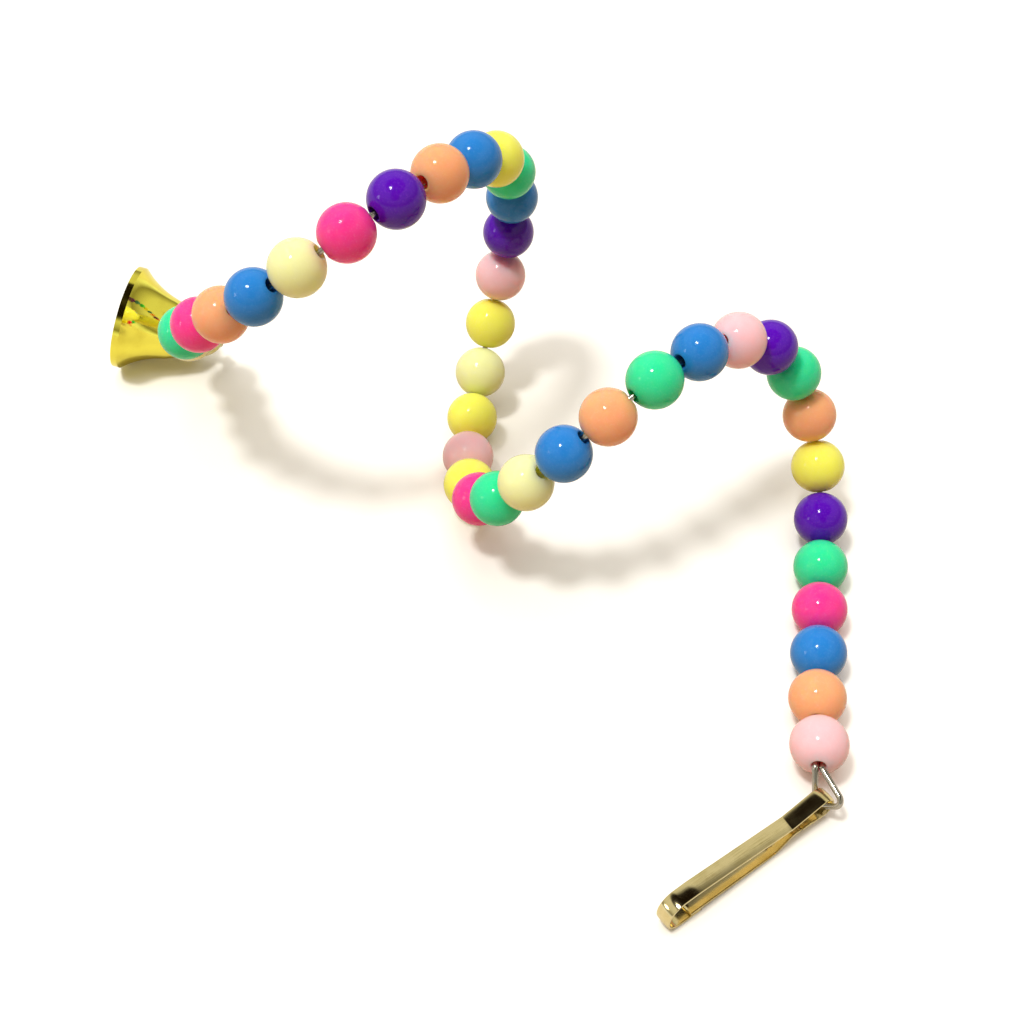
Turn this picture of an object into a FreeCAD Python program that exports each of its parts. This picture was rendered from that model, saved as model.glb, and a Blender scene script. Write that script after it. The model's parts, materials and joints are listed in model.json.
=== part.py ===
"""A bird's toy: a springy steel wire spiral strung with round beads, with a brass bell and a snap clip."""
import FreeCAD
import Part
import math
import os
import Sketcher
from FreeCAD import Matrix, Placement, Rotation, Vector

X_AXIS = Vector(1, 0, 0)
Y_AXIS = Vector(0, 1, 0)
Z_AXIS = Vector(0, 0, 1)

# Lengths are in millimetres and angles in degrees.
SIZES = {
    # The beads.
    "bead_diameter": 10.0,
    "bead_bore": 2.45,
    "bead_mouth_round": 0.25,
    "bead_pitch": 10.2,
    # The wire, and the heading of its bell end.
    "wire_diameter": 1.05,
    "start_azimuth": -79.622,
    "start_elevation_angle": 44.821,
    "start_roll_angle": -102.249,
    # Each run of the spiral: its bead steps, the radius of its bend and the twist between two steps.
    "start_steps": 2,
    "start_bend_radius": 52.15,
    "start_twist_angle": -121.55,
    "hook_steps": 1,
    "hook_bend_radius": 23.77,
    "hook_twist_angle": -19.36,
    "rise_steps": 2,
    "rise_bend_radius": 69.15,
    "rise_twist_angle": 21.96,
    "first_ridge_steps": 5,
    "first_ridge_bend_radius": 30.0,
    "first_ridge_twist_angle": -6.0,
    "first_drop_steps": 5,
    "first_drop_bend_radius": 34.5,
    "first_drop_twist_angle": -7.5,
    "valley_steps": 5,
    "valley_bend_radius": 29.5,
    "valley_twist_angle": -4.0,
    "second_rise_steps": 5,
    "second_rise_bend_radius": 31.0,
    "second_rise_twist_angle": -7.5,
    "second_ridge_steps": 5,
    "second_ridge_bend_radius": 29.0,
    "second_ridge_twist_angle": -13.0,
    "second_drop_steps": 5,
    "second_drop_bend_radius": 24.5,
    "second_drop_twist_angle": -7.5,
    "tail_steps": 4,
    "tail_bend_radius": 360.0,
    "tail_twist_angle": 5.0,
    # The three-cornered eyes at the wire's ends, each reaching out from the mouth of its end bead.
    "leg_spacing": 1.12,
    "tucked_length": 3.0,
    "eye_bend_radius": 1.15,
    "bell_eye_reach": 6.4,
    "bell_eye_width": 5.2,
    "bell_eye_drop": 1.5,
    "bell_eye_lean": 1.43,
    "clip_eye_near_out": 3.3,
    "clip_eye_near_aside": 0.94,
    "clip_eye_near_up": -5.89,
    "clip_eye_far_out": 5.59,
    "clip_eye_far_aside": 5.43,
    "clip_eye_far_up": -2.17,
    # The bell, along its axis from the mouth.
    "bell_height": 15.4,
    "mouth_diameter": 21.5,
    "lip_height": 1.3,
    "waist_height": 8.8,
    "waist_diameter": 13.0,
    "flare_sag": 0.55,
    "shoulder_depth": 3.2,
    "shoulder_diameter": 10.4,
    "shoulder_sag": 0.12,
    "crown_diameter": 4.0,
    "crown_sag": 0.75,
    "crown_hole": 1.3,
    "bell_wall": 0.5,
    "bell_azimuth": -10.0,
    # The bell's hanger and its clapper.
    "hanger_wire": 1.0,
    "ring_diameter": 3.6,
    "ring_rise": 2.9,
    "inner_eye_diameter": 2.6,
    "inner_eye_top": 0.2,
    "link_play": 0.3,
    "clapper_wire": 0.8,
    "clapper_ball": 5.0,
    "clapper_length": 8.0,
    "clapper_lean_angle": 28.0,
    # The snap clip, bent from one strip.
    "clip_length": 37.0,
    "strip_width": 3.5,
    "strip_thickness": 0.5,
    "big_loop_height": 7.0,
    "big_loop_round": 3.3,
    "back_bend_depth": 6.0,
    "back_bend_round": 12.0,
    "small_loop_diameter": 4.8,
    "small_loop_height": 3.6,
    "neck_height": 3.0,
    "neck_place": 9.4,
    "neck_round": 1.5,
    "knee_place": 13.4,
    "knee_round": 3.0,
    "lip_reach": 7.4,
    "gate_overlap": 2.3,
    "gate_gap": 0.12,
    "hinge_place": 7.6,
    "clip_azimuth": 217.3,
    "clip_past_eye": 0.27,
    "clip_off_eye": 0.78,
    "clip_below_eye": 2.076,
}
RUNS = (
    "start",
    "hook",
    "rise",
    "first_ridge",
    "first_drop",
    "valley",
    "second_rise",
    "second_ridge",
    "second_drop",
    "tail",
)
NEGLIGIBLE = 1e-6

doc = FreeCAD.newDocument("bead_spiral")
sheet = doc.addObject("Spreadsheet::Sheet", "Sizes")
for row, (alias, number) in enumerate(SIZES.items(), 1):
    sheet.set(f"A{row}", alias)
    sheet.set(f"B{row}", str(number))
    sheet.setAlias(f"B{row}", alias)
doc.recompute()


def size(alias):
    """Returns a driving dimension from the sheet."""
    return float(sheet.get(alias))


def bind(item, **bindings):
    """Ties properties of an object to formulas in the sheet's words."""
    for name, formula in bindings.items():
        words = formula.split()
        item.setExpression(name, " ".join(f"Sizes.{word}" if word in SIZES else word for word in words))
    return item


def add(kind, name, **bindings):
    """Adds an object whose sizes are tied to the sheet."""
    return bind(doc.addObject(kind, name), **bindings)


def turned(vector, axis, degrees):
    """Returns a vector turned about an axis through the origin."""
    return Rotation(axis, degrees).multVec(vector)


def heading(azimuth, elevation):
    """Returns the unit vector at an azimuth from +X and an elevation above the ground."""
    return turned(turned(X_AXIS, Y_AXIS, -elevation), Z_AXIS, azimuth)


def standing(point, along, side):
    """Returns the placement that takes Z along one direction and Y as near as can be to another."""
    z = Vector(along).normalize()
    x = side.cross(z).normalize()
    y = z.cross(x)
    turn = Matrix(x.x, y.x, z.x, 0, x.y, y.y, z.y, 0, x.z, y.z, z.z, 0, 0, 0, 0, 1)
    return Placement(point, Placement(turn).Rotation)


def rounded_path(corners, radii):
    """Returns straight edges through a list of corners, with an arc at each inner corner."""
    edges = []
    last = corners[0]
    for before, corner, after, radius in zip(corners, corners[1:], corners[2:], radii):
        inward = (corner - before).normalize()
        outward = (after - corner).normalize()
        half = inward.getAngle(outward) / 2
        cut = radius * math.tan(half)
        start = corner - inward * cut
        end = corner + outward * cut
        bulge = radius / math.cos(half) - radius
        middle = corner + (outward - inward).normalize() * bulge
        if (start - last).Length > NEGLIGIBLE:
            edges.append(Part.LineSegment(last, start).toShape())
        edges.append(Part.Arc(start, middle, end).toShape())
        last = end
    edges.append(Part.LineSegment(last, corners[-1]).toShape())
    return edges


def walk_spiral():
    """Returns the spiral's edges, and at each bead the wire's point, tangent, normal and bend radius."""
    point = Vector(0, 0, 0)
    tangent = heading(size("start_azimuth"), size("start_elevation_angle"))
    normal = turned(turned(Y_AXIS, Z_AXIS, size("start_azimuth")), tangent, size("start_roll_angle"))
    edges = []
    stations = []
    for run in RUNS:
        radius = size(run + "_bend_radius")
        turn = size("bead_pitch") / radius
        for _ in range(int(size(run + "_steps"))):
            stations.append((point, tangent, normal, radius))
            centre = point + normal * radius

            def reached(angle):
                return centre - normal * (radius * math.cos(angle)) + tangent * (radius * math.sin(angle))

            axis = tangent.cross(normal)
            edges.append(Part.Arc(point, reached(turn / 2), reached(turn)).toShape())
            point = reached(turn)
            tangent = turned(tangent, axis, math.degrees(turn))
            normal = turned(turned(normal, axis, math.degrees(turn)), tangent, size(run + "_twist_angle"))
    stations.append((point, tangent, normal, radius))
    return edges, stations


def eye_corners(mouth, out, aside, bends):
    """Returns the corners of an eye, from one mouth of the end bead round to the tail tucked beside it."""
    back = mouth + aside * size("leg_spacing")
    tail = back - out * size("tucked_length")
    return [mouth, *bends, back, tail]


def make_wire():
    """Makes the wire: the spiral with a three-cornered eye at each end, its tails tucked into the bores."""
    radii = [size("eye_bend_radius")] * 4
    front = rounded_path([first_point, *bell_eye], radii)
    ahead = rounded_path([last_point, *clip_eye], radii)
    path = doc.addObject("Part::Feature", "wire_path")
    path.Shape = Part.Wire([*reversed(front), *spiral_edges, *ahead])
    end = bell_eye[-1]
    section = add("Part::Circle", "wire_section", Radius="wire_diameter / 2")
    section.Placement = Placement(end, Rotation(Z_AXIS, first_tangent))
    sweep = doc.addObject("Part::Sweep", "wire_spiral")
    sweep.Sections = [section]
    sweep.Spine = (path, [f"Edge{number + 1}" for number in range(len(path.Shape.Edges))])
    sweep.Solid = True
    sweep.Frenet = True
    return sweep


def make_bead_form():
    """Makes the bead once: a ball turned about Z, with a bore and rounded mouths."""
    body = doc.addObject("PartDesign::Body", "bead_form")
    plane = [item for item in body.Origin.OriginFeatures if item.Role == "XZ_Plane"][0]
    sketch = body.newObject("Sketcher::SketchObject", "bead_section")
    sketch.AttachmentSupport = [(plane, "")]
    sketch.MapMode = "FlatFace"
    ball = size("bead_diameter") / 2
    bore = size("bead_bore") / 2
    soft = size("bead_mouth_round")
    height = math.sqrt((ball - soft) ** 2 - (bore + soft) ** 2)
    tip = math.atan2(height, bore + soft)
    sketch.addGeometry(Part.ArcOfCircle(Part.Circle(Vector(), Z_AXIS, ball), -tip, tip))
    upper = Part.Circle(Vector(bore + soft, height, 0), Z_AXIS, soft)
    sketch.addGeometry(Part.ArcOfCircle(upper, tip, math.pi))
    sketch.addGeometry(Part.LineSegment(Vector(bore, height, 0), Vector(bore, -height, 0)))
    lower = Part.Circle(Vector(bore + soft, -height, 0), Z_AXIS, soft)
    sketch.addGeometry(Part.ArcOfCircle(lower, math.pi, 2 * math.pi - tip))
    rules = (
        ("Coincident", 0, 3, -1, 1),
        ("Tangent", 0, 2, 1, 1),
        ("Tangent", 1, 2, 2, 1),
        ("Tangent", 2, 2, 3, 1),
        ("Tangent", 3, 2, 0, 1),
        ("Equal", 1, 3),
        ("Vertical", 2),
        ("Radius", 0, ball),
        ("Radius", 1, soft),
        ("DistanceX", -1, 1, 2, 1, bore),
    )
    for rule in rules:
        sketch.addConstraint(Sketcher.Constraint(*rule))
    sketch.setExpression("Constraints[7]", "Sizes.bead_diameter / 2")
    sketch.setExpression("Constraints[8]", "Sizes.bead_mouth_round")
    sketch.setExpression("Constraints[9]", "Sizes.bead_bore / 2")
    turning = body.newObject("PartDesign::Revolution", "bead_turned")
    turning.Profile = sketch
    turning.ReferenceAxis = (sketch, ["V_Axis"])
    turning.Angle = 360
    doc.recompute()
    return body


def place_beads():
    """Returns the beads' places: each sits a little inside its bend, and the end ones off their two legs."""
    half_gap = size("leg_spacing") / 2
    places = []
    for point, tangent, normal, radius in stations:
        sag = (size("bead_diameter") / 2) ** 2 / (2 * radius)
        centre = point + normal * (sag / 2)
        places.append(standing(centre, tangent, normal))
    places[0].Base = first_point - bell_up * half_gap
    places[-1].Base = last_point + clip_aside * half_gap
    return places


def make_beads():
    """Strings the beads on the wire."""
    form = make_bead_form()
    beads = []
    for number, place in enumerate(bead_places, 1):
        bead = doc.addObject("Part::Feature", f"bead_{number:02d}")
        bead.Shape = form.Shape
        bead.Placement = place
        beads.append(bead)
    return beads


def arc_through(start, end, sag):
    """Returns an arc between two points of a section, bulging outwards by its sag."""
    chord = (end - start).normalize()
    return Part.Arc(start, (start + end) / 2 + Vector(chord.z, 0, -chord.x) * sag, end).toShape()


def thin_section(name, edges, thickness, inside):
    """Thickens a section's outer line towards a point on its inner side."""
    line = doc.addObject("Part::Feature", name + "_line")
    line.Shape = Part.Wire(edges)
    section = add("Part::Offset2D", name + "_section", Value=thickness)
    section.Source = line
    section.Mode = "Skin"
    section.Join = "Arc"
    section.Fill = True
    doc.recompute()
    target = Part.Vertex(inside)
    if section.Shape.distToShape(target)[0] > line.Shape.distToShape(target)[0] - size(thickness) / 2:
        bind(section, Value="-1 * " + thickness)
    return section


def make_bell_shell():
    """Makes the bell as one thin wall turned about Z, open at the mouth and holed at the crown."""
    rim = Vector(size("mouth_diameter") / 2, 0, 0)
    lip = Vector(rim.x, 0, size("lip_height"))
    waist = Vector(size("waist_diameter") / 2, 0, size("waist_height"))
    shoulder = Vector(size("shoulder_diameter") / 2, 0, size("bell_height") - size("shoulder_depth"))
    crown = Vector(size("crown_diameter") / 2, 0, size("bell_height"))
    hole = Vector(size("crown_hole") / 2, 0, size("bell_height"))
    edges = [
        Part.LineSegment(rim, lip).toShape(),
        arc_through(lip, waist, -size("flare_sag")),
        arc_through(waist, shoulder, size("shoulder_sag")),
        arc_through(shoulder, crown, size("crown_sag")),
        Part.LineSegment(crown, hole).toShape(),
    ]
    shell = doc.addObject("Part::Revolution", "bell_shell")
    shell.Source = thin_section("bell", edges, "bell_wall", Vector(0, 0, waist.z))
    shell.Axis = Z_AXIS
    shell.Angle = 360
    shell.Solid = True
    return shell


def lay_torus(name, place, turn, **bindings):
    """Adds a wire ring whose own axis is turned from Z."""
    ring = add("Part::Torus", name, **bindings)
    ring.Placement = Placement(place, turn)
    return ring


def make_bell_hanger():
    """Makes the hanger: the ring above the crown, the stem through it and the clapper's eye inside."""
    wire = "hanger_wire / 2"
    across = bell_place.Rotation.inverted().multVec(bell_edge)
    turn = math.degrees(math.atan2(-across.x, across.y))
    top = Vector(0, 0, ring_height)
    ring_turn = Rotation(Z_AXIS, turn).multiply(Rotation(X_AXIS, 90))
    ring = lay_torus("hanger_ring", top, ring_turn, Radius1="ring_diameter / 2", Radius2=wire)
    place = Vector(0, 0, clapper_height + size("inner_eye_diameter") / 2)
    eye = lay_torus("hanger_eye", place, Rotation(Y_AXIS, 90), Radius1="inner_eye_diameter / 2", Radius2=wire)
    stem = add("Part::Cylinder", "hanger_stem", Radius=wire)
    start = place.z + size("inner_eye_diameter") / 2
    stem.Height = top.z - size("ring_diameter") / 2 - start
    stem.Placement.Base = Vector(0, 0, start)
    hanger = doc.addObject("Part::MultiFuse", "bell_hanger")
    hanger.Shapes = [ring, eye, stem]
    return hanger


def make_clapper():
    """Makes the clapper about its own hinge: an eye of wire, a shank down -Z and a ball."""
    wire = size("clapper_wire") / 2
    eye_radius = size("hanger_wire") / 2 + size("link_play") + wire
    eye = lay_torus("clapper_eye", Vector(), Rotation(X_AXIS, 90), Radius2="clapper_wire / 2")
    bind(eye, Radius1="hanger_wire / 2 + link_play + clapper_wire / 2")
    shank = add("Part::Cylinder", "clapper_shank", Radius="clapper_wire / 2")
    shank.Height = size("clapper_length") - eye_radius
    shank.Placement.Base = Vector(0, 0, -size("clapper_length"))
    ball = add("Part::Sphere", "clapper_weight", Radius="clapper_ball / 2")
    ball.Placement.Base = Vector(0, 0, -size("clapper_length"))
    clapper = doc.addObject("Part::MultiFuse", "bell_clapper")
    clapper.Shapes = [eye, shank, ball]
    return clapper


def strip_piece(name, corners, radii):
    """Bends a strip along its outer line, its thickness inwards and its width across the line."""
    inside = Vector(size("clip_length") / 2, 0, size("small_loop_height"))
    piece = add("Part::Extrusion", name, LengthFwd="strip_width / 2", LengthRev="strip_width / 2")
    piece.Base = thin_section(name, rounded_path(corners, radii), "strip_thickness", inside)
    piece.DirMode = "Custom"
    piece.Dir = Y_AXIS
    piece.Solid = True
    return piece


def make_clip():
    """Makes the snap clip's bent body and its springy gate."""
    loop = size("small_loop_diameter") / 2
    middle = size("small_loop_height")
    neck = size("neck_place")
    rise = size("neck_height") / 2
    span = math.hypot(neck - loop, rise)
    slope = math.tan(math.asin(loop / span) - math.atan2(rise, neck - loop))
    spread = rise + neck * slope
    length = size("clip_length")
    height = size("big_loop_height")
    bend = size("big_loop_round")
    hinge = Vector(size("hinge_place"), 0, middle - spread + size("hinge_place") * slope)
    along = Vector(1, 0, slope).normalize()
    gap = size("gate_gap")
    lip_end = length - size("lip_reach")
    body_corners = [
        Vector(lip_end, 0, 0),
        Vector(length, 0, 0),
        Vector(length, 0, height),
        Vector(length - size("back_bend_depth"), 0, height),
        Vector(neck, 0, middle + rise),
        Vector(0, 0, middle + spread),
        Vector(0, 0, middle - spread),
        hinge - along * gap / 2,
    ]
    body_radii = [bend, bend, size("back_bend_round"), size("neck_round"), loop, loop]
    knee = Vector(size("knee_place"), 0, 0)
    gate_end = lip_end + size("gate_overlap")
    lean = (size("strip_thickness") + gap) / (lip_end - knee.x)
    gate_corners = [
        hinge + along * gap / 2,
        Vector(neck, 0, middle - rise),
        knee,
        Vector(gate_end, 0, (gate_end - knee.x) * lean),
    ]
    body = strip_piece("clip_body", body_corners, body_radii)
    gate = strip_piece("clip_gate", gate_corners, [size("neck_round"), size("knee_round")])
    return body, gate


spiral_edges, stations = walk_spiral()
first_point, first_tangent = stations[0][:2]
last_point, last_tangent = stations[-1][:2]
mouth_reach = size("bead_diameter") / 2
bell_out = first_tangent * -1
bell_up = (Z_AXIS - bell_out * Z_AXIS.dot(bell_out)).normalize()
clip_aside = Z_AXIS.cross(last_tangent).normalize()
clip_up = last_tangent.cross(clip_aside)
bead_places = place_beads()
floor = min(place.Base.z for place in bead_places) - mouth_reach

# The bell-end eye opens downwards and leans aside a little, and its far edge carries the bell.
bell_mouth = first_point + bell_out * mouth_reach
leg_middle = bell_mouth - bell_up * (size("leg_spacing") / 2)
drop_and_lean = bell_out.cross(bell_up) * size("bell_eye_lean") - bell_up * size("bell_eye_drop")
bell_hinge = leg_middle + bell_out * size("bell_eye_reach") + drop_and_lean
eye_line = (bell_hinge - leg_middle).normalize()
bell_edge = (bell_up - eye_line * eye_line.dot(bell_up)).normalize()
half_edge = bell_edge * (size("bell_eye_width") / 2)
bell_eye = eye_corners(bell_mouth, bell_out, bell_up * -1, [bell_hinge + half_edge, bell_hinge - half_edge])

# The ring hangs on that edge, and the bell lies with its lip on the ground.
ring_hole = size("ring_diameter") / 2 - size("hanger_wire") / 2
ring_centre = bell_hinge + eye_line * (ring_hole - size("wire_diameter") / 2 - size("link_play"))
lip_radius = size("mouth_diameter") / 2
ring_height = size("bell_height") + size("ring_rise")
lever = ring_height - size("lip_height")
reach = math.hypot(lip_radius, lever)
bell_tilt = math.degrees(math.acos((ring_centre.z - floor) / reach) - math.atan2(lever, lip_radius))
bell_axis = heading(size("bell_azimuth"), -bell_tilt)
bell_place = standing(ring_centre - bell_axis * ring_height, bell_axis, Z_AXIS.cross(bell_axis))
crown_inside = size("bell_height") - size("bell_wall") - size("inner_eye_top")
clapper_height = crown_inside - size("hanger_wire") / 2 - size("inner_eye_diameter")
clapper_turn = bell_place.Rotation.multiply(Rotation(Y_AXIS, -size("clapper_lean_angle")))
clapper_place = Placement(bell_place.multVec(Vector(0, 0, clapper_height)), clapper_turn)

# The clip-end eye dips to one side, and its near corner lies in the clip's small loop.
clip_mouth = last_point + last_tangent * mouth_reach
clip_bends = []
for corner in ("near", "far"):
    out, aside, up = [size(f"clip_eye_{corner}_{way}") for way in ("out", "aside", "up")]
    clip_bends.append(clip_mouth + last_tangent * out + clip_aside * aside + clip_up * up)
clip_eye = eye_corners(clip_mouth, last_tangent, clip_aside, clip_bends)
clip_turn = Rotation(Z_AXIS, size("clip_azimuth"))
past = size("small_loop_diameter") / 2 + size("clip_past_eye")
offset = Vector(past, -size("clip_off_eye"), size("clip_below_eye"))
clip_place = Placement(clip_eye[1] - clip_turn.multVec(offset), clip_turn)

wire = make_wire()
beads = make_beads()
shell = make_bell_shell()
hanger = make_bell_hanger()
clapper = make_clapper()
clip_body, clip_gate = make_clip()
doc.recompute()

nodes = [wire, *beads, shell, hanger, clapper, clip_body, clip_gate]
places = {shell: bell_place, hanger: bell_place, clapper: clapper_place, clip_body: clip_place, clip_gate: clip_place}
for node, place in places.items():
    node.Placement = place
doc.recompute()

# The origin is the middle of the whole toy's box, on the ground.
box = FreeCAD.BoundBox()
for node in nodes:
    box.add(node.Shape.optimalBoundingBox())
shift = Placement(Vector(-box.Center.x, -box.Center.y, -box.ZMin), Rotation())
for node in nodes:
    node.Placement = shift.multiply(node.Placement)
doc.recompute()

failed = [item.Name for item in doc.Objects if {"Invalid", "Error"} & set(item.State)]
if failed:
    raise RuntimeError(f"These objects failed: {failed}")
os.makedirs("parts", exist_ok=True)
for node in nodes:
    shape = node.Shape
    if shape.isNull() or not shape.isValid():
        raise RuntimeError(f"{node.Label} is not a valid shape")
    shape.exportStep(f"parts/{node.Label}.step")
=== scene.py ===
"""Dresses the beaded spiral toy: plastic beads, steel wire, brass bell and clip, on a white table."""

import json
import logging
import math
from dataclasses import dataclass, field
from enum import Enum

import bpy
import numpy as np
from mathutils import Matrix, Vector

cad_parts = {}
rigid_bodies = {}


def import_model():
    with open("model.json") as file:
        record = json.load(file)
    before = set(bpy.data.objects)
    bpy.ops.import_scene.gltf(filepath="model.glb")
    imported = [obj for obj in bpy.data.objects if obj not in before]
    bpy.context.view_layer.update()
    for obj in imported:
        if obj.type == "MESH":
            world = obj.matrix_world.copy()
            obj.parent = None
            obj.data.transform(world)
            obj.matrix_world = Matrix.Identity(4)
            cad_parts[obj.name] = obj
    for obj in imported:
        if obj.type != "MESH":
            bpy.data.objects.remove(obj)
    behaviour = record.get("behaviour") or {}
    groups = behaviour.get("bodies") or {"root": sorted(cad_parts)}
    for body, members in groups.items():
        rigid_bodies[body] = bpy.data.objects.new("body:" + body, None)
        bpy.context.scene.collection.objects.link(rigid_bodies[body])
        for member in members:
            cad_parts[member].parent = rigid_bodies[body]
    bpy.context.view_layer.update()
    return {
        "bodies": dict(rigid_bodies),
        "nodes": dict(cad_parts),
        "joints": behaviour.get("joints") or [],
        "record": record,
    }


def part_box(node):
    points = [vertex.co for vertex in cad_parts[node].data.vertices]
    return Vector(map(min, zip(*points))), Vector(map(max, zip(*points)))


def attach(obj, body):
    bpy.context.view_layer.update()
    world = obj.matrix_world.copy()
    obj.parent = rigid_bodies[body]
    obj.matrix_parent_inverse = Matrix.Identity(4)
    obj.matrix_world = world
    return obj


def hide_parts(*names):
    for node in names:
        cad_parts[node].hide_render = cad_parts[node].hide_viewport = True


log = logging.getLogger("bead_spiral")
MM = 0.001
UV_MIDDLE = 0.5
TWO_PI = 2 * math.pi
ARC_STEP = math.radians(4)

Array = np.ndarray
Colour = tuple[float, float, float, float]


def linear(code: str) -> Colour:
    """Turns an sRGB hex value into the linear colour that shaders take.

    Args:
        code: Six hex digits, red first.

    Returns:
        Red, green, blue and an alpha of one.
    """
    channels = np.array([int(code[i : i + 2], 16) / 255 for i in (0, 2, 4)])
    values = np.where(channels <= 0.04045, channels / 12.92, ((channels + 0.055) / 1.055) ** 2.4)
    return (*values.tolist(), 1.0)


def add(tree: bpy.types.NodeTree, kind: str, sockets: dict | None = None, **settings) -> bpy.types.Node:
    """Adds a node, sets it and links it.

    Args:
        tree: The node tree that gets it.
        kind: The node's type name.
        sockets: Input names or numbers, each with a value or the output socket to link.
        **settings: Attributes of the node itself.

    Returns:
        The new node.
    """
    made = tree.nodes.new(kind)
    for name, value in settings.items():
        setattr(made, name, value)
    for name, value in (sockets or {}).items():
        if isinstance(value, bpy.types.NodeSocket):
            tree.links.new(value, made.inputs[name])
        else:
            made.inputs[name].default_value = value
    return made


def fresh_material(name: str) -> tuple[bpy.types.Material, bpy.types.NodeTree, bpy.types.Node]:
    """Makes an empty material.

    Args:
        name: What the finish is called.

    Returns:
        The material, its node tree and its output node.
    """
    material = bpy.data.materials.new(name)
    material.use_nodes = True
    material.node_tree.nodes.clear()
    return material, material.node_tree, material.node_tree.nodes.new("ShaderNodeOutputMaterial")


def grain(tree: bpy.types.NodeTree, place: bpy.types.Node, size: float, detail: float) -> bpy.types.Node:
    """Adds a noise whose patches have a real size.

    Args:
        tree: The node tree that gets it.
        place: The Texture Coordinate node, whose Object output is in metres.
        size: The patches' size in metres.
        detail: How many finer layers the noise has.

    Returns:
        The noise node.
    """
    return add(
        tree, "ShaderNodeTexNoise", {"Vector": place.outputs["Object"], "Scale": 1 / size, "Detail": detail}
    )


def blend(
    tree: bpy.types.NodeTree, share: bpy.types.NodeSocket, first: object, second: object
) -> bpy.types.NodeSocket:
    """Mixes two colours and returns the socket that carries the result.

    Args:
        tree: The node tree that gets the node.
        share: The socket that says how much of the second colour to take.
        first: A colour or a socket.
        second: A colour or a socket.

    Returns:
        The mixed colour.
    """
    return add(tree, "ShaderNodeMix", {0: share, 6: first, 7: second}, data_type="RGBA").outputs[2]


def ramp(
    tree: bpy.types.NodeTree, value: bpy.types.NodeSocket, *limits: float, **settings
) -> bpy.types.NodeSocket:
    """Maps a value between limits to a new range and returns the result's socket.

    Args:
        tree: The node tree that gets the node.
        value: The value's socket.
        *limits: From low, from high and, where they are not 0 and 1, to low and to high.
        **settings: Attributes of the node.

    Returns:
        The mapped value.
    """
    names = ("From Min", "From Max", "To Min", "To Max")
    sockets = {"Value": value, **dict(zip(names, limits))}
    return add(tree, "ShaderNodeMapRange", sockets, **settings).outputs["Result"]


def shine(tree: bpy.types.NodeTree, out: bpy.types.Node, sockets: dict[str, object]) -> None:
    """Adds the finish's Principled shader and links it to the output."""
    shader = add(tree, "ShaderNodeBsdfPrincipled", sockets)
    tree.links.new(shader.outputs["BSDF"], out.inputs["Surface"])


class Hue(Enum):
    """The bead colours, by the slot that the record gives each of them."""

    PINK = "bead_pink"
    ORANGE = "bead_orange"
    BLUE = "bead_blue"
    CREAM = "bead_cream"
    PURPLE = "bead_purple"
    GREEN = "bead_green"
    YELLOW = "bead_yellow"
    ROSE = "bead_rose"


@dataclass(frozen=True)
class BeadPlastic:
    """Injection-moulded polystyrene, barrel polished.

    The eye gets a deep even colour under a clear gloss that turns richer in the shade, where light
    comes out that has gone through the bead, faint clouds and pigment specks where the melt mixed,
    and a hair-thin parting line round the middle.
    """

    name: str
    base: str
    cloud: str
    speck: str
    reach: tuple[float, float, float]
    speck_share: float = 0.25
    cloud_share: float = 0.35
    depth: float = 0.85
    roughness: float = 0.1
    gloss: float = 0.22
    ior: float = 1.55
    cloud_size: float = 4 * MM
    speck_size: float = 0.35 * MM
    ripple_size: float = 1.4 * MM
    ripple_share: float = 0.35
    seam_share: float = 0.008
    bump_strength: float = 0.25
    bump_height: float = 0.04 * MM

    def build(self) -> bpy.types.Material:
        """Builds the material, with patterns sized in millimetres on Object coordinates."""
        material, tree, out = fresh_material(self.name)
        place = add(tree, "ShaderNodeTexCoord")
        clouds = grain(tree, place, self.cloud_size, 2.0)
        specks = grain(tree, place, self.speck_size, 3.0)
        cloud_amount = ramp(tree, clouds.outputs["Fac"], 0.4, 0.7, 0.0, self.cloud_share)
        speck_amount = ramp(tree, specks.outputs["Fac"], 0.52, 0.72, 0.0, self.speck_share)
        clouded = blend(tree, cloud_amount, linear(self.base), linear(self.cloud))
        speckled = blend(tree, speck_amount, clouded, linear(self.speck))
        along = add(tree, "ShaderNodeSeparateXYZ", {"Vector": place.outputs["UV"]})
        off_seam = add(tree, "ShaderNodeMath", {0: along.outputs["Y"], 1: UV_MIDDLE}, operation="SUBTRACT")
        distance = add(tree, "ShaderNodeMath", {0: off_seam.outputs[0]}, operation="ABSOLUTE")
        # The outline starts and ends at the middle, where the two halves of the mould meet.
        seam = ramp(
            tree,
            distance.outputs[0],
            UV_MIDDLE - self.seam_share,
            UV_MIDDLE,
            interpolation_type="SMOOTHSTEP",
        )
        ripple = grain(tree, place, self.ripple_size, 1.0)
        height = add(
            tree,
            "ShaderNodeMath",
            {0: ripple.outputs["Fac"], 1: self.ripple_share, 2: seam},
            operation="MULTIPLY_ADD",
        )
        bump = add(
            tree,
            "ShaderNodeBump",
            {"Height": height.outputs[0], "Strength": self.bump_strength, "Distance": self.bump_height},
        )
        shine(
            tree,
            out,
            {
                "Base Color": speckled,
                "Roughness": self.roughness,
                "IOR": self.ior,
                "Specular IOR Level": self.gloss,
                "Normal": bump.outputs["Normal"],
                "Subsurface Weight": self.depth,
                "Subsurface Radius": self.reach,
                "Subsurface Scale": MM,
            },
        )
        return material


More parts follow.
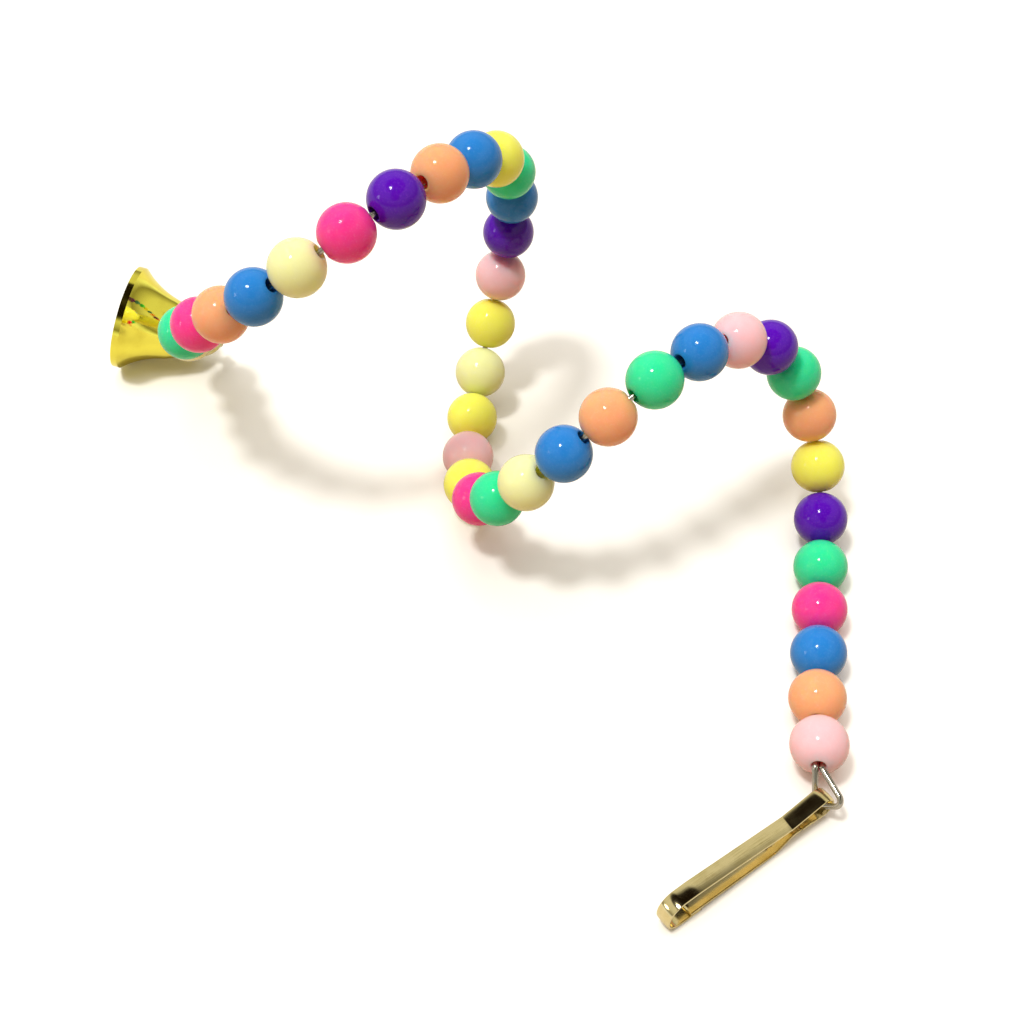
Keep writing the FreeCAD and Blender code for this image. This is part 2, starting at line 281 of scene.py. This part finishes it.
@dataclass(frozen=True)
class BrightMetal:
    """Bright metal: brass plate or drawn steel.

    The eye gets sharp dark and light reflections in the metal's own colour, slightly dulled where
    the plate is uneven, with fine draw lines or handling marks.
    """

    name: str
    base: str
    dull: str
    roughness: float
    dull_roughness: float
    patch: float
    grain: float
    grain_depth: float
    bump_strength: float = 0.3

    def build(self) -> bpy.types.Material:
        """Builds the material, with patches and grain sized in metres on Object coordinates."""
        material, tree, out = fresh_material(self.name)
        place = add(tree, "ShaderNodeTexCoord")
        patches = grain(tree, place, self.patch, 4.0)
        amount = ramp(tree, patches.outputs["Fac"], 0.45, 0.75)
        colour = blend(tree, amount, linear(self.base), linear(self.dull))
        rough = ramp(tree, patches.outputs["Fac"], 0.4, 0.75, self.roughness, self.dull_roughness)
        marks = grain(tree, place, self.grain, 2.0)
        bump = add(
            tree,
            "ShaderNodeBump",
            {"Height": marks.outputs["Fac"], "Strength": self.bump_strength, "Distance": self.grain_depth},
        )
        shine(
            tree,
            out,
            {"Base Color": colour, "Metallic": 1.0, "Roughness": rough, "Normal": bump.outputs["Normal"]},
        )
        return material


@dataclass(frozen=True)
class PlatedStrip:
    """Brass-plated spring strip, rolled and bent.

    The eye gets a pale gold mirror, a little satin, whose reflections are drawn out by fine rolling
    lines along the strip, and duller clouds where the plate has been handled.
    """

    name: str
    base: str
    dull: str
    roughness: float
    dull_roughness: float
    line_width: float
    line_length: float
    cloud_size: float = 3 * MM
    line_depth: float = 0.006 * MM
    bump_strength: float = 0.25

    def build(self) -> bpy.types.Material:
        """Builds the material on the strip's own UV map, which is in metres round and along it."""
        material, tree, out = fresh_material(self.name)
        place = add(tree, "ShaderNodeTexCoord")
        lie = add(
            tree,
            "ShaderNodeMapping",
            {"Vector": place.outputs["UV"], "Scale": (1 / self.line_width, 1 / self.line_length, 1.0)},
        )
        lines = add(
            tree, "ShaderNodeTexNoise", {"Vector": lie.outputs["Vector"], "Scale": 1.0, "Detail": 3.0}
        )
        clouds = grain(tree, place, self.cloud_size, 3.0)
        wear = add(
            tree,
            "ShaderNodeMath",
            {0: lines.outputs["Fac"], 1: clouds.outputs["Fac"]},
            operation="MULTIPLY",
        )
        amount = ramp(tree, wear.outputs[0], 0.2, 0.42)
        colour = blend(tree, amount, linear(self.base), linear(self.dull))
        rough = ramp(tree, wear.outputs[0], 0.15, 0.42, self.roughness, self.dull_roughness)
        bump = add(
            tree,
            "ShaderNodeBump",
            {"Height": lines.outputs["Fac"], "Strength": self.bump_strength, "Distance": self.line_depth},
        )
        shine(
            tree,
            out,
            {"Base Color": colour, "Metallic": 1.0, "Roughness": rough, "Normal": bump.outputs["Normal"]},
        )
        return material


BEAD_FINISHES = {
    Hue.PINK: BeadPlastic("pink polystyrene", "FF409A", "FF4EA2", "FF72BC", (3.5, 0.1, 0.6)),
    Hue.ORANGE: BeadPlastic("peach polystyrene", "FFAE7E", "FFB88C", "FFC8A6", (4.0, 1.2, 0.3)),
    Hue.BLUE: BeadPlastic("blue polystyrene", "2A80D2", "3488D8", "509AE0", (0.1, 0.5, 1.0), depth=0.15),
    Hue.CREAM: BeadPlastic("cream afterglow polystyrene", "EEF2B4", "F0F4BE", "F6F8CE", (4.0, 3.8, 0.9)),
    Hue.PURPLE: BeadPlastic("purple polystyrene", "560AB4", "641ABC", "803EC8", (0.6, 0.1, 0.7), depth=0.15),
    Hue.GREEN: BeadPlastic("green polystyrene", "36E0A2", "44E6AA", "66ECBA", (0.1, 2.4, 0.8)),
    Hue.YELLOW: BeadPlastic("neon yellow polystyrene", "F8FF66", "FAFF74", "FEFF9C", (4.0, 4.4, 0.3)),
    Hue.ROSE: BeadPlastic("rose polystyrene", "FFC6CE", "FFCED5", "FFDBE0", (4.0, 1.1, 1.1)),
}
BELL_BRASS = BrightMetal("polished brass plate", "FAF05E", "E8DA50", 0.07, 0.16, 5 * MM, 0.5 * MM, 0.01 * MM)
CLIP_BRASS = PlatedStrip("plated spring strip", "E8D8A4", "CFBE82", 0.1, 0.2, 0.1 * MM, 5 * MM)
HANGER_BRASS = BrightMetal("plated brass wire", "C9B672", "A8935A", 0.15, 0.3, 2 * MM, 0.3 * MM, 0.01 * MM)
DRAWN_STEEL = BrightMetal("drawn spring steel", "B4AFA4", "8E8A80", 0.16, 0.3, 3 * MM, 0.3 * MM, 0.015 * MM)


def grid_mesh(name: str, points: Array, wrap_rows: bool, wrap_columns: bool) -> bpy.types.Mesh:
    """Makes a mesh of quads from a grid of points.

    Args:
        name: The mesh's name.
        points: Rows by columns by three, in metres.
        wrap_rows: Whether the last row meets the first.
        wrap_columns: Whether the last column meets the first.

    Returns:
        The mesh, smooth, with the row and column shares as its UV map.
    """
    rows, columns = points.shape[:2]
    index = np.arange(rows * columns).reshape(rows, columns)
    if wrap_rows:
        index = np.vstack([index, index[:1]])
    if wrap_columns:
        index = np.hstack([index, index[:, :1]])
    corners = np.stack([index[:-1, :-1], index[1:, :-1], index[1:, 1:], index[:-1, 1:]], -1).reshape(-1, 4)
    mesh = bpy.data.meshes.new(name)
    mesh.from_pydata(points.reshape(-1, 3), [], corners)
    down = np.arange(index.shape[0]) / (index.shape[0] - 1)
    across = np.arange(index.shape[1]) / (index.shape[1] - 1)
    u, v = np.meshgrid(across, down)
    uv = np.stack([u, v], -1)
    shares = np.stack([uv[:-1, :-1], uv[1:, :-1], uv[1:, 1:], uv[:-1, 1:]], 2).reshape(-1)
    mesh.uv_layers.new(name="UVMap").data.foreach_set("uv", shares)
    mesh.shade_smooth()
    return mesh


def frame_from(axis: Vector) -> Array:
    """Returns three unit columns, the last along an axis, that place a turned piece."""
    z = np.array(axis.normalized())
    side = np.array((1.0, 0, 0)) if abs(z[0]) < 0.9 else np.array((0, 1.0, 0))
    x = np.cross(side, z)
    x /= np.linalg.norm(x)
    return np.stack([x, np.cross(z, x), z], 1)


def turned_points(profile: Array, around: int) -> Array:
    """Turns a profile about Z: each point (r, z) goes round as (r cos a, r sin a, z).

    Args:
        profile: Points by two, radius and height.
        around: How many steps make the full turn.

    Returns:
        Points by steps by three.
    """
    angles = np.linspace(0, TWO_PI, around, endpoint=False)
    radius = profile[:, :1]
    height = np.repeat(profile[:, 1:], around, 1)
    return np.stack([radius * np.cos(angles), radius * np.sin(angles), height], -1)


@dataclass
class BeadString:
    """The beads, each a ball with a bore and rounded mouths, strung where the frame has them."""

    frame: dict
    ball: float = 5.0 * MM
    bore: float = 1.225 * MM
    mouth: float = 0.25 * MM
    around: int = 56
    finishes: dict = field(default_factory=dict)

    def profile(self) -> Array:
        """Returns the closed outline, from the middle up, down through the bore and back.

        The outer arc is (R cos a, R sin a). The mouth is an arc of radius m that runs smoothly from
        the ball into the bore, about the point that lies m inside the ball and m beside the bore.
        """
        middle = self.bore + self.mouth
        height = math.sqrt((self.ball - self.mouth) ** 2 - middle**2)
        tip = math.atan2(height, middle)
        outer = np.linspace(0, tip, 19)
        rim = np.linspace(tip, math.pi, 7)[1:]
        ball = np.stack([self.ball * np.cos(outer), self.ball * np.sin(outer)], 1)
        mouth = np.stack([middle + self.mouth * np.cos(rim), height + self.mouth * np.sin(rim)], 1)
        upper = np.vstack([ball, mouth])
        wall = np.stack([np.full(3, self.bore), np.linspace(height, -height, 5)[1:-1]], 1)
        lower = upper[:0:-1] * (1, -1)
        return np.vstack([upper, wall, lower])

    def build(self) -> None:
        """Builds every bead on its node's place and gives it its colour."""
        axes = {joint["child"]: joint["axis"] for joint in self.frame["joints"]}
        slots = {item["node"]: item["material_slot"] for item in self.frame["record"]["subparts"]}
        form = turned_points(self.profile(), self.around)
        for hue, finish in BEAD_FINISHES.items():
            self.finishes[hue.value] = finish.build()
        names = sorted(name for name in self.frame["nodes"] if name.startswith("bead_"))
        for name in names:
            low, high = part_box(name)
            points = form @ frame_from(Vector(axes[name])).T + np.array((low + high) / 2)
            bead = bpy.data.objects.new(f"{name}_ball", grid_mesh(name, points, True, True))
            bpy.context.scene.collection.objects.link(bead)
            bead.data.materials.append(self.finishes[slots[name]])
            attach(bead, name)
            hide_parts(name)
        log.info("strung %d beads", len(names))


@dataclass
class Metalwork:
    """The wire, bell, hanger and clapper, which keep their solids and get their finish."""

    frame: dict

    def dress(self, name: str, material: bpy.types.Material) -> None:
        """Gives a node of the frame its material."""
        node = self.frame["nodes"][name]
        node.data.materials.clear()
        node.data.materials.append(material)

    def build(self) -> None:
        """Dresses every metal piece."""
        steel = DRAWN_STEEL.build()
        brass = BELL_BRASS.build()
        plated = HANGER_BRASS.build()
        self.dress("wire_spiral", steel)
        self.dress("bell_shell", brass)
        self.dress("bell_hanger", plated)
        self.dress("bell_clapper", plated)
        log.info("dressed the metalwork")


def rounded_line(corners: Array, radii: Array, step: float) -> tuple[Array, Array]:
    """Rounds the corners of a flat line and walks it in even steps.

    Each corner becomes an arc that touches both its runs: for a turn t and a radius r it starts
    r tan(t / 2) before the corner, and its points lie on a circle about the point at r to the side.

    Args:
        corners: Points by two, the first and last of them the line's ends.
        radii: The arc's radius at each inner corner.
        step: The longest step between two points.

    Returns:
        The points and the unit directions along the line, each points by two.
    """
    runs = np.diff(corners, axis=0)
    lengths = np.linalg.norm(runs, axis=1)
    ways = runs / lengths[:, None]
    turns = np.arctan2(
        ways[:-1, 0] * ways[1:, 1] - ways[:-1, 1] * ways[1:, 0], np.sum(ways[:-1] * ways[1:], axis=1)
    )
    cuts = np.concatenate([[0.0], radii * np.tan(np.abs(turns) / 2), [0.0]])
    points, directions = [], []
    for run, way in enumerate(ways):
        span = lengths[run] - cuts[run] - cuts[run + 1]
        shares = np.linspace(0, span, max(2, math.ceil(span / step) + 1))
        points.append(corners[run] + way * (cuts[run] + shares[:, None]))
        directions.append(np.tile(way, (len(shares), 1)))
        if run < len(turns):
            angle = turns[run]
            angles = np.linspace(0, angle, math.ceil(abs(angle) / ARC_STEP) + 1)[1:-1]
            across = math.copysign(1, angle) * np.array([-way[1], way[0]])
            middle = points[-1][-1] + across * radii[run]
            turned = np.abs(angles)[:, None]
            points.append(middle + radii[run] * (way * np.sin(turned) - across * np.cos(turned)))
            directions.append(way * np.cos(turned) + across * np.sin(turned))
    return np.vstack(points), np.vstack(directions)


def capped_mesh(name: str, points: Array) -> bpy.types.Mesh:
    """Makes a closed mesh of a ring carried along a path, with a flat face at each end.

    Args:
        name: The mesh's name.
        points: Places along the path by points round the ring by three, in metres.

    Returns:
        The mesh, smooth but for its ends, with its UV map in metres: round the ring, along the path.
    """
    rows, columns = points.shape[:2]
    index = np.arange(rows * columns).reshape(rows, columns)
    index = np.hstack([index, index[:, :1]])
    sides = np.stack([index[:-1, :-1], index[1:, :-1], index[1:, 1:], index[:-1, 1:]], -1).reshape(-1, 4)
    ends = [index[0, :-1].tolist(), index[-1, -2::-1].tolist()]
    mesh = bpy.data.meshes.new(name)
    mesh.from_pydata(points.reshape(-1, 3), [], sides.tolist() + ends)
    closed = np.concatenate([points, points[:, :1]], 1)
    around = np.cumsum(np.linalg.norm(np.diff(closed, axis=1, prepend=closed[:, :1]), axis=2), 1)
    along = np.cumsum(np.linalg.norm(np.diff(closed, axis=0, prepend=closed[:1]), axis=2), 0)
    uv = np.stack([around, along], -1)
    shares = np.stack([uv[:-1, :-1], uv[1:, :-1], uv[1:, 1:], uv[:-1, 1:]], 2).reshape(-1, 2)
    shares = np.vstack([shares, uv[0, :-1], uv[-1, -2::-1]])
    mesh.uv_layers.new(name="UVMap").data.foreach_set("uv", shares.reshape(-1))
    mesh.shade_smooth()
    smooth = np.ones(len(mesh.polygons), bool)
    smooth[-2:] = False
    mesh.polygons.foreach_set("use_smooth", smooth)
    return mesh


@dataclass
class SnapClip:
    """The snap clip: a body and a gate, each a strip with a crowned face, rolled edges and bends.

    The corners are in millimetres in the clip's own plane and lie on the strip's outer face. The
    strip follows the photo, in which it is narrower than the solid. Its small loop stays as low and
    as far back as the solid's, so that the wire's eye clears it over the whole swing.
    """

    frame: dict
    width: float = 2.9 * MM
    aside: float = -0.15 * MM
    thickness: float = 0.5 * MM
    edge: float = 0.12 * MM
    crown: float = 0.12 * MM
    step: float = 0.8 * MM
    small_loop_middle: tuple[float, float] = (2.4 * MM, 3.6 * MM)
    body_corners: tuple[tuple[float, float], ...] = (
        (29.6, 0), (37, 0), (37, 7), (31, 7), (10.2, 5.2), (0.5, 6.7), (0.5, 0.95), (7.54, 1.856),
    )
    body_radii: tuple[float, ...] = (3.3, 3.3, 12, 1.5, 2.6, 2.1)
    gate_corners: tuple[tuple[float, float], ...] = ((7.66, 1.871), (9.6, 2.13), (13.4, 0), (31.9, 0.708))
    gate_radii: tuple[float, ...] = (1.5, 3)

    def section(self) -> Array:
        """Returns the strip's outline as pairs of place across and depth.

        The outer face sinks by crown times the square of its share of the half width, the edges are
        quarter circles and the inner face is flat.
        """
        half = self.width / 2
        flat = np.linspace(-1, 1, 15) * (half - self.edge)
        sink = self.crown * (flat / half) ** 2
        outer = np.stack([flat, sink], 1)
        turn = np.linspace(0, np.pi / 2, 5)[1:]
        start, end = sink[-1] + self.edge, self.thickness - self.edge
        upper = np.stack([half - self.edge + self.edge * np.sin(turn), start - self.edge * np.cos(turn)], 1)
        lower = np.stack([half - self.edge + self.edge * np.cos(turn), end + self.edge * np.sin(turn)], 1)
        side = np.vstack([upper, [[half, end]], lower])
        inner = np.stack([flat[-2:0:-1], np.full(len(flat) - 2, self.thickness)], 1)
        return np.vstack([outer, side, inner, side[::-1] * (-1, 1)])

    def strip(
        self,
        name: str,
        body: str,
        corners: tuple[tuple[float, float], ...],
        radii: tuple[float, ...],
        finish: bpy.types.Material,
    ) -> None:
        """Sweeps the section along a bent line and puts it in its node's place.

        Args:
            name: The node that it replaces.
            body: The body that it rides on.
            corners: The line's corners in the clip's own plane, in millimetres.
            radii: The radius at each inner corner, in millimetres.
            finish: The strip's finish.
        """
        line, way = rounded_line(np.array(corners) * MM, np.array(radii) * MM, self.step)
        inward = np.stack([-way[:, 1], way[:, 0]], 1)
        section = self.section()
        flat = line[:, None] + inward[:, None] * section[None, :, 1:]
        across = np.broadcast_to(section[:, 0] + self.aside, flat.shape[:2])
        swing = next(joint for joint in self.frame["joints"] if joint["child"] == "clip")
        wide = np.array(swing["axis"])
        ahead = np.cross(wide, (0, 0, 1))
        middle, rise = self.small_loop_middle
        start = np.array(swing["pos_m"]) - ahead * middle - (0, 0, rise)
        points = start + flat[..., :1] * ahead + across[..., None] * wide
        points[..., 2] += flat[..., 1]
        strip = bpy.data.objects.new(f"{name}_strip", capped_mesh(name, points))
        bpy.context.scene.collection.objects.link(strip)
        strip.data.materials.append(finish)
        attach(strip, body)
        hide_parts(name)

    def build(self) -> None:
        """Builds the body and the gate."""
        finish = CLIP_BRASS.build()
        self.strip("clip_body", "clip", self.body_corners, self.body_radii, finish)
        self.strip("clip_gate", "gate", self.gate_corners, self.gate_radii, finish)
        log.info("bent the clip")


@dataclass
class Studio:
    """The white table, the lamps, the room and the camera, whose place was fitted to the photo.

    Each band of the room is the sine of the height it starts at and its colour as a mirror sees it.
    """

    camera_place: tuple[float, float, float] = (10.117 * MM, -189.725 * MM, 233.852 * MM)
    camera_dip: float = 48.5
    focal_length: float = 56.25
    film_width: float = 36
    near_clip: float = 0.01
    floor_side: float = 6.0
    table_white: str = "FAF9F6"
    table_bounce: str = "CFB69A"
    table_mirrored: str = "DCD6CC"
    table_tint: str = "FFF0E0"
    table_lift: float = 0.06
    lamp_tint: str = "FFFDF8"
    fill: float = 0.18
    dark_corner: tuple[float, float, float] = (0, -0.66, 0.75)
    corner_edge: tuple[float, float] = (0.93, 0.985)
    corner_colour: str = "140C06"
    fill_tint: str = "FFE6BE"
    room_bands: tuple[tuple[float, str], ...] = (
        (0.06, "FFFFFF"),
        (0.2, "8A846E"),
        (0.5, "DCD8C6"),
        (0.8, "E4E0D0"),
        (0.86, "1A120A"),
    )

    def build(self) -> None:
        """Sets the camera, floor, lamps and world."""
        self.set_camera()
        self.lay_floor()
        self.hang_lamps()
        self.paint_room()
        bpy.context.scene.view_settings.view_transform = "Standard"
        log.info("set the studio")

    def set_camera(self) -> None:
        """Places the camera above and before the toy, looking down at it."""
        data = bpy.data.cameras.new("camera")
        data.lens = self.focal_length
        data.sensor_width = self.film_width
        data.clip_start = self.near_clip
        camera = bpy.data.objects.new("camera", data)
        camera.location = self.camera_place
        camera.rotation_euler = (math.radians(90 - self.camera_dip), 0, 0)
        bpy.context.scene.collection.objects.link(camera)
        bpy.context.scene.camera = camera

    def lay_floor(self) -> None:
        """Lays the table: white to the camera with the toy's shadow kept, and greyer to other rays."""
        half = self.floor_side / 2
        corners = [(-half, -half, 0), (half, -half, 0), (half, half, 0), (-half, half, 0)]
        mesh = bpy.data.meshes.new("table")
        mesh.from_pydata(corners, [], [(0, 1, 2, 3)])
        floor = bpy.data.objects.new("table", mesh)
        bpy.context.scene.collection.objects.link(floor)
        material, tree, out = fresh_material("white laminate")
        path = add(tree, "ShaderNodeLightPath")
        matt = add(tree, "ShaderNodeBsdfDiffuse", {"Color": linear(self.table_bounce)})
        mirrored = add(tree, "ShaderNodeBsdfDiffuse", {"Color": linear(self.table_mirrored)})
        pale = add(tree, "ShaderNodeBsdfDiffuse", {"Color": linear(self.table_white)})
        glow = add(
            tree,
            "ShaderNodeEmission",
            {"Color": linear(self.table_tint), "Strength": self.table_lift},
        )
        lifted = add(tree, "ShaderNodeAddShader", {0: pale.outputs[0], 1: glow.outputs[0]})
        self.show(tree, path, (matt, mirrored, lifted), out)
        mesh.materials.append(material)

    def show(
        self,
        tree: bpy.types.NodeTree,
        path: bpy.types.Node,
        shaders: tuple[bpy.types.Node, bpy.types.Node, bpy.types.Node],
        out: bpy.types.Node,
    ) -> None:
        """Sends each kind of ray its own shader.

        Args:
            tree: The node tree of the floor or the world.
            path: The Light Path node.
            shaders: What scattered rays, mirror and glass rays, and camera rays meet.
            out: The output node.
        """
        scattered, mirrored, camera = (shader.outputs[0] for shader in shaders)
        mirror_ray = add(
            tree,
            "ShaderNodeMath",
            {0: path.outputs["Is Glossy Ray"], 1: path.outputs["Is Transmission Ray"]},
            operation="MAXIMUM",
        )
        lit = add(tree, "ShaderNodeMixShader", {0: mirror_ray.outputs[0], 1: scattered, 2: mirrored})
        seen = add(
            tree, "ShaderNodeMixShader", {0: path.outputs["Is Camera Ray"], 1: lit.outputs[0], 2: camera}
        )
        tree.links.new(seen.outputs[0], out.inputs["Surface"])

    def hang_lamps(self) -> None:
        """Hangs the lamp overhead, a broad soft one round it and a weak one low on the left."""
        self.lamp("overhead", (-0.27, -0.135, 0.956), 9, 1.6)
        self.lamp("diffuser", (-0.1, 0.1, 0.95), 65, 2.2).visible_glossy = False
        self.lamp("window", (-0.95, -0.25, 0.35), 12, 0.16)

    def lamp(
        self, name: str, towards: tuple[float, float, float], spread: float, strength: float
    ) -> bpy.types.Object:
        """Adds a far lamp that shines on the toy.

        Args:
            name: The lamp's name.
            towards: The direction from the toy to the lamp.
            spread: How wide the lamp looks from the toy, in degrees.
            strength: Its light on a surface that faces it, in watts a square metre.

        Returns:
            The lamp.
        """
        data = bpy.data.lights.new(name, "SUN")
        data.angle = math.radians(spread)
        data.energy = strength
        data.color = linear(self.lamp_tint)[:3]
        lamp = bpy.data.objects.new(name, data)
        lamp.rotation_euler = Vector(towards).to_track_quat("Z", "Y").to_euler()
        bpy.context.scene.collection.objects.link(lamp)
        return lamp

    def paint_room(self) -> None:
        """Paints the world.

        The camera sees white, scattered rays meet a weak warm fill, and mirrors see a room: white at
        the table's edge, a dim wall, a pale one above it, and a dark ceiling and front corner.
        """
        world = bpy.data.worlds.new("room")
        bpy.context.scene.world = world
        world.use_nodes = True
        tree = world.node_tree
        tree.nodes.clear()
        out = tree.nodes.new("ShaderNodeOutputWorld")
        path = add(tree, "ShaderNodeLightPath")
        place = add(tree, "ShaderNodeTexCoord")
        height = add(tree, "ShaderNodeSeparateXYZ", {"Vector": place.outputs["Generated"]})
        walls = add(tree, "ShaderNodeValToRGB", {"Fac": height.outputs["Z"]})
        bands = walls.color_ramp.elements
        for band, (level, colour) in enumerate(self.room_bands):
            element = bands[band] if band < 2 else bands.new(level)
            element.position = level
            element.color = linear(colour)
        facing = add(
            tree,
            "ShaderNodeVectorMath",
            {0: place.outputs["Generated"], 1: self.dark_corner},
            operation="DOT_PRODUCT",
        )
        shade = ramp(tree, facing.outputs["Value"], *self.corner_edge, interpolation_type="SMOOTHSTEP")
        view = blend(tree, shade, walls.outputs["Color"], linear(self.corner_colour))
        mirrored = add(tree, "ShaderNodeBackground", {"Color": view, "Strength": 1.0})
        fill = add(tree, "ShaderNodeBackground", {"Color": linear(self.fill_tint), "Strength": self.fill})
        white = add(tree, "ShaderNodeBackground", {"Color": linear("FFFFFF"), "Strength": 1.0})
        self.show(tree, path, (fill, mirrored, white), out)


def main() -> None:
    """Loads the frame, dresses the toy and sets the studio."""
    logging.basicConfig(level=logging.INFO)
    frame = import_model()
    BeadString(frame).build()
    Metalwork(frame).build()
    SnapClip(frame).build()
    Studio().build()


if __name__ == "__main__":
    main()
